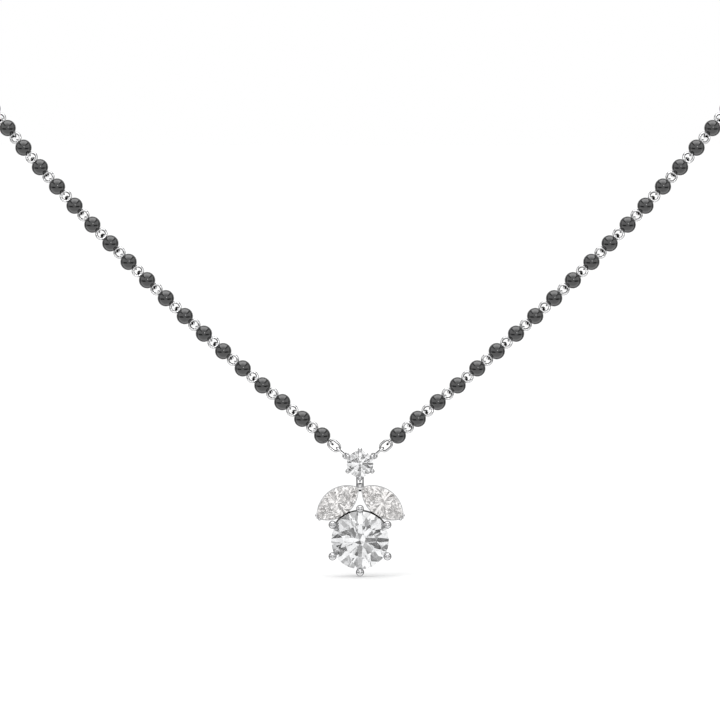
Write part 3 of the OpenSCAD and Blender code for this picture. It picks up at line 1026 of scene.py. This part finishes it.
@dataclass
class LightTent:
    """The panels of a light tent as the world: how bright each one is, by direction.

    The pairs named edge, lean, core, fringe and reach say where a soft step begins and ends.
    """

    wall: float = 0.85
    front: float = 0.65
    top: float = 2.1
    under: float = 1.3
    gap: float = 0.02
    seam: float = 0.1
    back: float = 0.03
    lamp: float = 6.0
    room: float = 1.13
    lamp_at: Triple = (0.17, -0.955, 0.24)
    lamp_edge: Pair = (0.11, 0.07)
    front_edge: Pair = (-0.93, -0.88)
    horizon: Pair = (0.0, 0.02)
    least_rise: float = 0.01
    overhead_edge: Pair = (-0.80, -0.70)
    under_edge: Pair = (-0.4, 0.3)
    low_edge: Pair = (-0.25, -0.4)
    seam_lean: Pair = (1.35, 1.05)
    patch_lean: Pair = (0.8, 0.62)
    top_edge: Pair = (-0.75, -0.1)
    gap_line: Pair = (-0.1, 0.12)
    gap_core: Pair = (0.24, 0.12)
    gap_fringe: Pair = (0.2, 0.05)
    gap_reach: Pair = (0.1, -0.5)
    core_share: float = 0.75
    rear_lean: float = 0.38
    rear_edge: Pair = (-0.02, 0.22)
    rear_wall: Pair = (0.66, 0.8)
    cell: float = 3.4
    waviness: float = 0.4
    steps: tuple[Pair, ...] = (
        (0.0, 0.05), (0.42, 0.08), (0.43, 0.22), (0.46, 0.28), (0.47, 0.5), (0.495, 0.6),
        (0.505, 0.85), (0.54, 0.95), (0.55, 1.1), (1.0, 1.3))

    def mirrored(self, nodes: Nodes, where: bpy.types.NodeSocket) -> bpy.types.NodeSocket:
        """Make the tent that shows in metal and beads: white walls, dark seams, dark behind.

        Args:
            nodes: the world's nodes.
            where: the direction.

        Returns:
            The brightness.
        """
        axes = nodes.add("SeparateXYZ", Vector=where)
        x, y, z = (axes.outputs[i] for i in range(3))
        # The walls, and overhead the dark seams on both sides of the bright top.
        lean = nodes.math("DIVIDE", nodes.math("ABSOLUTE", x),
                          nodes.math("MAXIMUM", z, self.least_rise))
        overhead = nodes.math("MULTIPLY", nodes.step(z, *self.horizon),
                              nodes.step(y, *self.overhead_edge))
        low = nodes.blend(nodes.step(y, *self.under_edge), self.wall, self.under)
        light = nodes.blend(nodes.step(z, *self.low_edge), self.wall, low)
        seam = nodes.math("MULTIPLY", overhead, nodes.step(lean, *self.seam_lean))
        light = nodes.blend(seam, light, self.seam)
        top = nodes.blend(nodes.step(y, *self.top_edge), self.wall, self.top)
        patch = nodes.math("MULTIPLY", overhead, nodes.step(lean, *self.patch_lean))
        light = nodes.blend(patch, light, top)
        # A level gap a little below the middle: its core to the front, its fringe all round.
        line = nodes.math("MULTIPLY_ADD", y, *self.gap_line)
        far = nodes.math("ABSOLUTE", nodes.math("ADD", z, line))
        core = nodes.math("MULTIPLY", nodes.step(far, *self.gap_core),
                          nodes.step(y, *self.gap_reach))
        fringe = nodes.math("MULTIPLY", nodes.step(far, *self.gap_fringe), 1 - self.core_share)
        gap = nodes.math("MULTIPLY_ADD", core, self.core_share, fringe)
        light = nodes.blend(gap, light, self.gap)
        # The wall round the camera, the lamp's spot, and the dark behind the necklace.
        light = nodes.blend(nodes.step(y, *self.front_edge), self.front, light)
        lamp = nodes.step(nodes.vector("DISTANCE", where, self.lamp_at), *self.lamp_edge)
        light = nodes.blend(lamp, light, self.lamp)
        over = nodes.math("MULTIPLY", nodes.math("ABSOLUTE", z), self.rear_lean)
        behind = nodes.step(nodes.math("SUBTRACT", y, over), *self.rear_edge)
        rear = nodes.blend(nodes.step(y, *self.rear_wall), self.back, self.wall)
        return nodes.blend(behind, light, rear)

    def refracted(self, nodes: Nodes, where: bpy.types.NodeSocket) -> bpy.types.NodeSocket:
        """Make the tent that shows in the stones: white sheets with grey and dark gaps.

        Args:
            nodes: the world's nodes.
            where: the direction.

        Returns:
            The brightness.
        """
        sheets = nodes.add("TexNoise", Vector=where, Scale=self.cell, Detail=1.0,
                           Distortion=self.waviness)
        ramp = nodes.tree.nodes.new("ShaderNodeValToRGB")
        stops = ramp.color_ramp.elements
        for place, light in self.steps:
            stop = stops[0] if place == 0 else stops[-1] if place == 1 else stops.new(place)
            stop.color = (light, light, light, 1.0)
        nodes.set(ramp.inputs["Fac"], sheets.outputs["Fac"])
        return ramp.outputs["Color"]

    def build(self) -> None:
        """Build the world: white where the camera looks, and the tent in every reflection."""
        world = bpy.data.worlds.new("light_tent")
        bpy.context.scene.world = world
        world.use_nodes = True
        tree = world.node_tree
        tree.nodes.clear()
        nodes = Nodes(tree)
        where = nodes.add("TexCoord").outputs["Generated"]
        path = nodes.add("LightPath")
        light = self.mirrored(nodes, where)
        for ray, there in (("Is Transmission Ray", self.refracted(nodes, where)),
                           ("Is Diffuse Ray", self.room), ("Is Camera Ray", 1.0)):
            light = nodes.blend(path.outputs[ray], light, there)
        tent = nodes.add("Background", Color=light, Strength=1.0)
        out = nodes.add("OutputWorld")
        tree.links.new(tent.outputs[0], out.inputs["Surface"])


@dataclass
class Studio:
    """The camera, the floor and the soft lights."""

    middle: Triple = (0.0, -0.104, -0.09952)
    distance: float = 0.9
    tilt: float = 2.0
    lens: float = 375.0
    sensor: float = 36.0
    sight: float = 50.0
    floor_r: float = 8.0
    floor_sides: int = 128
    floor_gap: float = 0.1 * MM
    floor_seen: Triple = (0.92, 0.92, 0.92)
    floor_bounced: Triple = (0.42, 0.42, 0.42)
    key_size: float = 0.35
    key_power: float = 1.0
    key_at: Triple = (-0.25, -0.5, 0.6)
    bounces: int = 20
    glossy_bounces: int = 8

    def camera(self) -> None:
        """Set the camera where the picture was taken from."""
        data = bpy.data.cameras.new("camera")
        data.lens = self.lens
        data.sensor_width = self.sensor
        data.clip_end = self.sight
        eye = bpy.data.objects.new("camera", data)
        bpy.context.scene.collection.objects.link(eye)
        tilt = math.radians(self.tilt)
        back = Vector((0, -math.cos(tilt), math.sin(tilt))) * self.distance
        eye.location = Vector(self.middle) + back
        eye.rotation_euler = (QUARTER - tilt, 0, 0)
        bpy.context.scene.camera = eye

    def floor(self, height: float) -> bpy.types.Object:
        """Lay the pale floor, which throws less light up than the camera sees.

        Args:
            height: where its surface lies.

        Returns:
            The floor.
        """
        Bench.clear()
        bpy.ops.mesh.primitive_circle_add(vertices=self.floor_sides, radius=self.floor_r,
                                          fill_type="NGON", location=(0, 0, height))
        floor = bpy.context.object
        floor.name = "floor"
        made = bpy.data.materials.new("pale_floor")
        made.use_nodes = True
        nodes = Nodes(made.node_tree)
        made.node_tree.nodes.remove(made.node_tree.nodes["Principled BSDF"])
        seen = nodes.add("BsdfDiffuse", Color=(*self.floor_seen, 1.0))
        bounced = nodes.add("BsdfDiffuse", Color=(*self.floor_bounced, 1.0))
        pick = nodes.add("MixShader", Fac=nodes.add("LightPath").outputs["Is Camera Ray"])
        made.node_tree.links.new(bounced.outputs[0], pick.inputs[1])
        made.node_tree.links.new(seen.outputs[0], pick.inputs[2])
        surface = made.node_tree.nodes["Material Output"].inputs["Surface"]
        made.node_tree.links.new(pick.outputs[0], surface)
        floor.data.materials.append(made)
        floor.visible_glossy = False
        floor.visible_transmission = False
        floor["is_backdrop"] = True
        return floor

    def lights(self) -> None:
        """Hang the soft key light above the front."""
        data = bpy.data.lights.new("key", "AREA")
        data.shape = "SQUARE"
        data.size = self.key_size
        data.energy = self.key_power
        lamp = bpy.data.objects.new("key", data)
        bpy.context.scene.collection.objects.link(lamp)
        target = Vector(self.middle)
        lamp.location = target + Vector(self.key_at)
        lamp.rotation_euler = (target - lamp.location).to_track_quat("-Z", "Y").to_euler()
        lamp.visible_glossy = False
        lamp.visible_transmission = False

    def build(self, lowest: float) -> None:
        """Set up the whole studio.

        Args:
            lowest: the necklace's lowest point.
        """
        self.camera()
        self.floor(lowest - self.floor_gap)
        self.lights()
        LightTent().build()
        scene = bpy.context.scene
        scene.view_settings.view_transform = "Standard"
        scene.cycles.max_bounces = self.bounces
        scene.cycles.transmission_bounces = self.bounces
        scene.cycles.glossy_bounces = self.glossy_bounces


def stones() -> Iterable[CutStone]:
    """The four stones of the pendant.

    Returns:
        The stones, not yet cut.
    """
    top, centre = 3.2 * MM, 6.92 * MM
    leaf_length, leaf_width, leaf_turn = 6.05 * MM, 3.2 * MM, 36.5
    yield CutStone("top_stone", "pendant", top, top, Outline.ROUND, DIAMOND)
    yield CutStone("centre_stone", "drop", centre, centre, Outline.ROUND, DIAMOND)
    for side, turn in ((Side.LEFT, leaf_turn), (Side.RIGHT, -leaf_turn)):
        yield CutStone(f"leaf_stone_{side.value}", "drop", leaf_length, leaf_width,
                       Outline.POINTED, LEAF_DIAMOND, turn=turn, mains=list(LEAF_MAINS))


def report(piece: bpy.types.Object) -> None:
    """Log a finished piece with its number of faces."""
    LOG.info("%s: %d faces", piece.name, len(piece.data.polygons))


def main() -> None:
    """Build the studio, the links, the stones and the finishes, in order."""
    logging.basicConfig(level=logging.INFO, format="%(message)s")
    model = [list(corner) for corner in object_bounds()]
    Studio().build(model[0][2])
    for side in Side:
        for piece in StrandLinks(side).build():
            report(piece)
    for stone in stones():
        report(stone.build())
    for piece in ModelDress().build():
        report(piece)
    Bench.clear()


if __name__ == "__main__":
    main()
